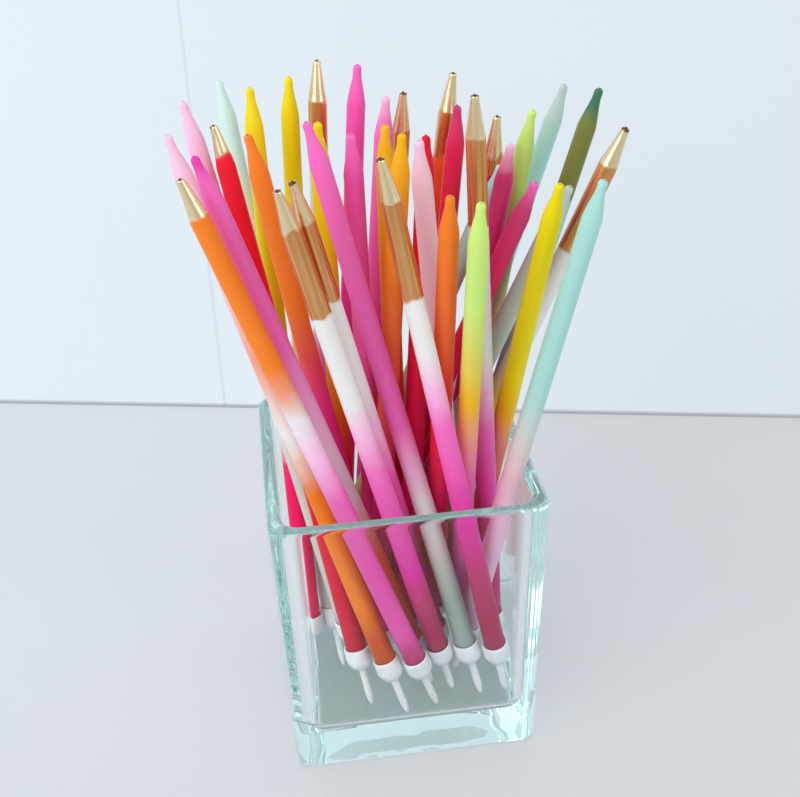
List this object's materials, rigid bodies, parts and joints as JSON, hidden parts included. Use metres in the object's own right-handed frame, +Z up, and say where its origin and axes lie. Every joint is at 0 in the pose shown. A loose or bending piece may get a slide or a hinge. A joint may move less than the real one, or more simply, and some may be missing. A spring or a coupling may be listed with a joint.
{
  "type": "candle bunch in a square glass",
  "caption": "Bunch of long, thin dipped candles, each in a white plastic pick, standing fanned out in a heavy square clear glass.",
  "frame": {"origin": "centre of the glass's flat underside, at table level", "axes": "+Z up, the front of the glass faces -Y, +X to its right"},
  "size_m": [0.1146, 0.0937, 0.1891],
  "materials": {
    "clear_glass": "clear, polished, pale aqua tint",
    "white_plastic": "satin white",
    "wick_cord": "plain cotton",
    "wax_crimson": "smooth satin wax",
    "wax_ivory": "smooth satin wax",
    "wax_red": "smooth satin wax",
    "wax_amber": "smooth satin wax",
    "wax_fuchsia": "smooth satin wax",
    "wax_orange": "smooth satin wax",
    "wax_raspberry": "smooth satin wax",
    "wax_sage": "smooth satin wax",
    "wax_magenta": "smooth satin wax",
    "wax_cerise": "smooth satin wax",
    "wax_olive": "smooth satin wax",
    "wax_sea": "smooth satin wax",
    "gold_dipped_wax": "metallic gold paint over wax",
    "wax_teal_rose": "smooth satin wax",
    "wax_lemon_peach": "smooth satin wax",
    "wax_tangerine": "smooth satin wax",
    "wax_cream": "smooth satin wax",
    "wax_mist": "smooth satin wax",
    "wax_ice": "smooth satin wax",
    "wax_peach_rose": "smooth satin wax",
    "wax_lime": "smooth satin wax",
    "wax_apricot": "smooth satin wax",
    "wax_lemon": "smooth satin wax",
    "wax_canary": "smooth satin wax",
    "wax_butter": "smooth satin wax",
    "wax_magenta_back": "smooth satin wax",
    "wax_coral": "smooth satin wax",
    "wax_rose": "smooth satin wax",
    "wax_amber_back": "smooth satin wax",
    "wax_maize": "smooth satin wax",
    "wax_flame": "smooth satin wax",
    "wax_claret": "smooth satin wax",
    "wax_petal": "smooth satin wax",
    "wax_pistachio": "smooth satin wax"
  },
  "bodies": {
    "glass": {"glass": "clear_glass"},
    "pick_crimson": {"pick_crimson": "white_plastic"},
    "taper_crimson": {"wax_crimson": "wax_crimson", "wick_crimson": "wick_cord"},
    "pick_ivory": {"pick_ivory": "white_plastic"},
    "taper_ivory": {"wax_ivory": "wax_ivory", "wick_ivory": "wick_cord"},
    "pick_red": {"pick_red": "white_plastic"},
    "taper_red": {"wax_red": "wax_red", "wick_red": "wick_cord"},
    "pick_amber": {"pick_amber": "white_plastic"},
    "taper_amber": {"wax_amber": "wax_amber", "wick_amber": "wick_cord"},
    "pick_fuchsia": {"pick_fuchsia": "white_plastic"},
    "taper_fuchsia": {"wax_fuchsia": "wax_fuchsia", "wick_fuchsia": "wick_cord"},
    "pick_orange": {"pick_orange": "white_plastic"},
    "taper_orange": {"wax_orange": "wax_orange", "wick_orange": "wick_cord"},
    "pick_raspberry": {"pick_raspberry": "white_plastic"},
    "taper_raspberry": {"wax_raspberry": "wax_raspberry", "wick_raspberry": "wick_cord"},
    "pick_sage": {"pick_sage": "white_plastic"},
    "taper_sage": {"wax_sage": "wax_sage", "wick_sage": "wick_cord"},
    "pick_magenta": {"pick_magenta": "white_plastic"},
    "taper_magenta": {"wax_magenta": "wax_magenta", "wick_magenta": "wick_cord"},
    "pick_cerise": {"pick_cerise": "white_plastic"},
    "taper_cerise": {"wax_cerise": "wax_cerise", "wick_cerise": "wick_cord"},
    "candle_olive": {"candle_olive": "wax_olive"},
    "candle_sea": {"candle_sea": "wax_sea"},
    "candle_gilt_white": {"candle_gilt_white": "gold_dipped_wax"},
    "candle_teal_rose": {"candle_teal_rose": "wax_teal_rose"},
    "candle_lemon_peach": {"candle_lemon_peach": "wax_lemon_peach"},
    "candle_gilt_rose": {"candle_gilt_rose": "gold_dipped_wax"},
    "candle_tangerine": {"candle_tangerine": "wax_tangerine"},
    "candle_cream": {"candle_cream": "wax_cream"},
    "candle_mist": {"candle_mist": "wax_mist"},
    "candle_ice": {"candle_ice": "wax_ice"},
    "candle_peach_rose": {"candle_peach_rose": "wax_peach_rose"},
    "candle_lime": {"candle_lime": "wax_lime"},
    "candle_apricot": {"candle_apricot": "wax_apricot"},
    "candle_lemon": {"candle_lemon": "wax_lemon"},
    "candle_canary": {"candle_canary": "wax_canary"},
    "candle_tall_gold": {"candle_tall_gold": "gold_dipped_wax"},
    "candle_butter": {"candle_butter": "wax_butter"},
    "candle_magenta_back": {"candle_magenta_back": "wax_magenta_back"},
    "candle_coral": {"candle_coral": "wax_coral"},
    "candle_rose": {"candle_rose": "wax_rose"},
    "candle_amber_back": {"candle_amber_back": "wax_amber_back"},
    "candle_maize": {"candle_maize": "wax_maize"},
    "candle_gold_mid": {"candle_gold_mid": "gold_dipped_wax"},
    "candle_gold_right": {"candle_gold_right": "gold_dipped_wax"},
    "candle_flame": {"candle_flame": "wax_flame"},
    "candle_claret": {"candle_claret": "wax_claret"},
    "candle_petal": {"candle_petal": "wax_petal"},
    "candle_pistachio": {"candle_pistachio": "wax_pistachio"},
    "candle_gilt_plum": {"candle_gilt_plum": "gold_dipped_wax"}
  },
  "joints": [
    {"name": "lift_crimson", "type": "slide", "parent": "glass", "child": "pick_crimson", "axis": [-0.116, 0.3095, 0.9438], "range_m": [0, 0.085]},
    {"name": "pull_crimson", "type": "slide", "parent": "pick_crimson", "child": "taper_crimson", "axis": [-0.116, 0.3095, 0.9438], "range_m": [0, 0.008]},
    {"name": "lift_ivory", "type": "slide", "parent": "glass", "child": "pick_ivory", "axis": [-0.1968, 0.1096, 0.9743], "range_m": [0, 0.085]},
    {"name": "pull_ivory", "type": "slide", "parent": "pick_ivory", "child": "taper_ivory", "axis": [-0.1968, 0.1096, 0.9743], "range_m": [0, 0.008]},
    {"name": "lift_red", "type": "slide", "parent": "glass", "child": "pick_red", "axis": [-0.1661, 0.176, 0.9703], "range_m": [0, 0.085]},
    {"name": "pull_red", "type": "slide", "parent": "pick_red", "child": "taper_red", "axis": [-0.1661, 0.176, 0.9703], "range_m": [0, 0.008]},
    {"name": "lift_amber", "type": "slide", "parent": "glass", "child": "pick_amber", "axis": [-0.2823, 0.1491, 0.9477], "range_m": [0, 0.085]},
    {"name": "pull_amber", "type": "slide", "parent": "pick_amber", "child": "taper_amber", "axis": [-0.2823, 0.1491, 0.9477], "range_m": [0, 0.008]},
    {"name": "lift_fuchsia", "type": "slide", "parent": "glass", "child": "pick_fuchsia", "axis": [-0.3167, -0.0218, 0.9483], "range_m": [0, 0.085]},
    {"name": "pull_fuchsia", "type": "slide", "parent": "pick_fuchsia", "child": "taper_fuchsia", "axis": [-0.3167, -0.0218, 0.9483], "range_m": [0, 0.008]},
    {"name": "lift_orange", "type": "slide", "parent": "glass", "child": "pick_orange", "axis": [-0.2945, -0.0402, 0.9548], "range_m": [0, 0.085]},
    {"name": "pull_orange", "type": "slide", "parent": "pick_orange", "child": "taper_orange", "axis": [-0.2945, -0.0402, 0.9548], "range_m": [0, 0.008]},
    {"name": "lift_raspberry", "type": "slide", "parent": "glass", "child": "pick_raspberry", "axis": [-0.2361, -0.0998, 0.9666], "range_m": [0, 0.085]},
    {"name": "pull_raspberry", "type": "slide", "parent": "pick_raspberry", "child": "taper_raspberry", "axis": [-0.2361, -0.0998, 0.9666], "range_m": [0, 0.008]},
    {"name": "lift_sage", "type": "slide", "parent": "glass", "child": "pick_sage", "axis": [-0.2224, 0.0567, 0.9733], "range_m": [0, 0.085]},
    {"name": "pull_sage", "type": "slide", "parent": "pick_sage", "child": "taper_sage", "axis": [-0.2224, 0.0567, 0.9733], "range_m": [0, 0.008]},
    {"name": "lift_magenta", "type": "slide", "parent": "glass", "child": "pick_magenta", "axis": [-0.1867, -0.0589, 0.9807], "range_m": [0, 0.085]},
    {"name": "pull_magenta", "type": "slide", "parent": "pick_magenta", "child": "taper_magenta", "axis": [-0.1867, -0.0589, 0.9807], "range_m": [0, 0.008]},
    {"name": "lift_cerise", "type": "slide", "parent": "glass", "child": "pick_cerise", "axis": [-0.0366, -0.0385, 0.9986], "range_m": [0, 0.085]},
    {"name": "pull_cerise", "type": "slide", "parent": "pick_cerise", "child": "taper_cerise", "axis": [-0.0366, -0.0385, 0.9986], "range_m": [0, 0.008]},
    {"name": "lift_olive", "type": "slide", "parent": "glass", "child": "candle_olive", "axis": [0.2839, -0.0094, 0.9588], "range_m": [0, 0.085]},
    {"name": "lift_sea", "type": "slide", "parent": "glass", "child": "candle_sea", "axis": [0.3179, 0.0215, 0.9479], "range_m": [0, 0.085]},
    {"name": "lift_gilt_white", "type": "slide", "parent": "glass", "child": "candle_gilt_white", "axis": [0.3623, -0.1074, 0.9259], "range_m": [0, 0.085]},
    {"name": "lift_teal_rose", "type": "slide", "parent": "glass", "child": "candle_teal_rose", "axis": [0.1842, -0.1669, 0.9686], "range_m": [0, 0.085]},
    {"name": "lift_lemon_peach", "type": "slide", "parent": "glass", "child": "candle_lemon_peach", "axis": [0.105, -0.2651, 0.9585], "range_m": [0, 0.085]},
    {"name": "lift_gilt_rose", "type": "slide", "parent": "glass", "child": "candle_gilt_rose", "axis": [-0.2166, -0.1143, 0.9695], "range_m": [0, 0.085]},
    {"name": "lift_tangerine", "type": "slide", "parent": "glass", "child": "candle_tangerine", "axis": [-0.1676, 0.0054, 0.9858], "range_m": [0, 0.085]},
    {"name": "lift_cream", "type": "slide", "parent": "glass", "child": "candle_cream", "axis": [-0.0897, -0.1754, 0.9804], "range_m": [0, 0.085]},
    {"name": "lift_mist", "type": "slide", "parent": "glass", "child": "candle_mist", "axis": [0.3436, -0.1775, 0.9222], "range_m": [0, 0.085]},
    {"name": "lift_ice", "type": "slide", "parent": "glass", "child": "candle_ice", "axis": [0.3723, -0.0575, 0.9263], "range_m": [0, 0.085]},
    {"name": "lift_peach_rose", "type": "slide", "parent": "glass", "child": "candle_peach_rose", "axis": [0.3473, -0.1567, 0.9246], "range_m": [0, 0.085]},
    {"name": "lift_lime", "type": "slide", "parent": "glass", "child": "candle_lime", "axis": [-0.0009, -0.2392, 0.971], "range_m": [0, 0.085]},
    {"name": "lift_apricot", "type": "slide", "parent": "glass", "child": "candle_apricot", "axis": [0.005, -0.2328, 0.9725], "range_m": [0, 0.085]},
    {"name": "lift_lemon", "type": "slide", "parent": "glass", "child": "candle_lemon", "axis": [-0.0222, 0.1815, 0.9831], "range_m": [0, 0.085]},
    {"name": "lift_canary", "type": "slide", "parent": "glass", "child": "candle_canary", "axis": [0.0266, 0.0234, 0.9994], "range_m": [0, 0.085]},
    {"name": "lift_tall_gold", "type": "slide", "parent": "glass", "child": "candle_tall_gold", "axis": [0.0428, 0.0391, 0.9983], "range_m": [0, 0.085]},
    {"name": "lift_butter", "type": "slide", "parent": "glass", "child": "candle_butter", "axis": [-0.0144, -0.0878, 0.996], "range_m": [0, 0.085]},
    {"name": "lift_magenta_back", "type": "slide", "parent": "glass", "child": "candle_magenta_back", "axis": [0.0778, -0.0147, 0.9969], "range_m": [0, 0.085]},
    {"name": "lift_coral", "type": "slide", "parent": "glass", "child": "candle_coral", "axis": [-0.0148, -0.09, 0.9958], "range_m": [0, 0.085]},
    {"name": "lift_rose", "type": "slide", "parent": "glass", "child": "candle_rose", "axis": [0.0805, -0.0597, 0.995], "range_m": [0, 0.085]},
    {"name": "lift_amber_back", "type": "slide", "parent": "glass", "child": "candle_amber_back", "axis": [-0.0023, -0.0181, 0.9998], "range_m": [0, 0.085]},
    {"name": "lift_maize", "type": "slide", "parent": "glass", "child": "candle_maize", "axis": [0.0708, -0.0712, 0.9949], "range_m": [0, 0.085]},
    {"name": "lift_gold_mid", "type": "slide", "parent": "glass", "child": "candle_gold_mid", "axis": [0.0791, -0.0563, 0.9953], "range_m": [0, 0.085]},
    {"name": "lift_gold_right", "type": "slide", "parent": "glass", "child": "candle_gold_right", "axis": [0.1394, 0.0181, 0.9901], "range_m": [0, 0.085]},
    {"name": "lift_flame", "type": "slide", "parent": "glass", "child": "candle_flame", "axis": [0.0644, 0.0124, 0.9978], "range_m": [0, 0.085]},
    {"name": "lift_claret", "type": "slide", "parent": "glass", "child": "candle_claret", "axis": [0.1, -0.0155, 0.9949], "range_m": [0, 0.085]},
    {"name": "lift_petal", "type": "slide", "parent": "glass", "child": "candle_petal", "axis": [0.1244, -0.1708, 0.9774], "range_m": [0, 0.085]},
    {"name": "lift_pistachio", "type": "slide", "parent": "glass", "child": "candle_pistachio", "axis": [0.1469, -0.0729, 0.9865], "range_m": [0, 0.085]},
    {"name": "lift_gilt_plum", "type": "slide", "parent": "glass", "child": "candle_gilt_plum", "axis": [0.0478, -0.0575, 0.9972], "range_m": [0, 0.085]}
  ]
}
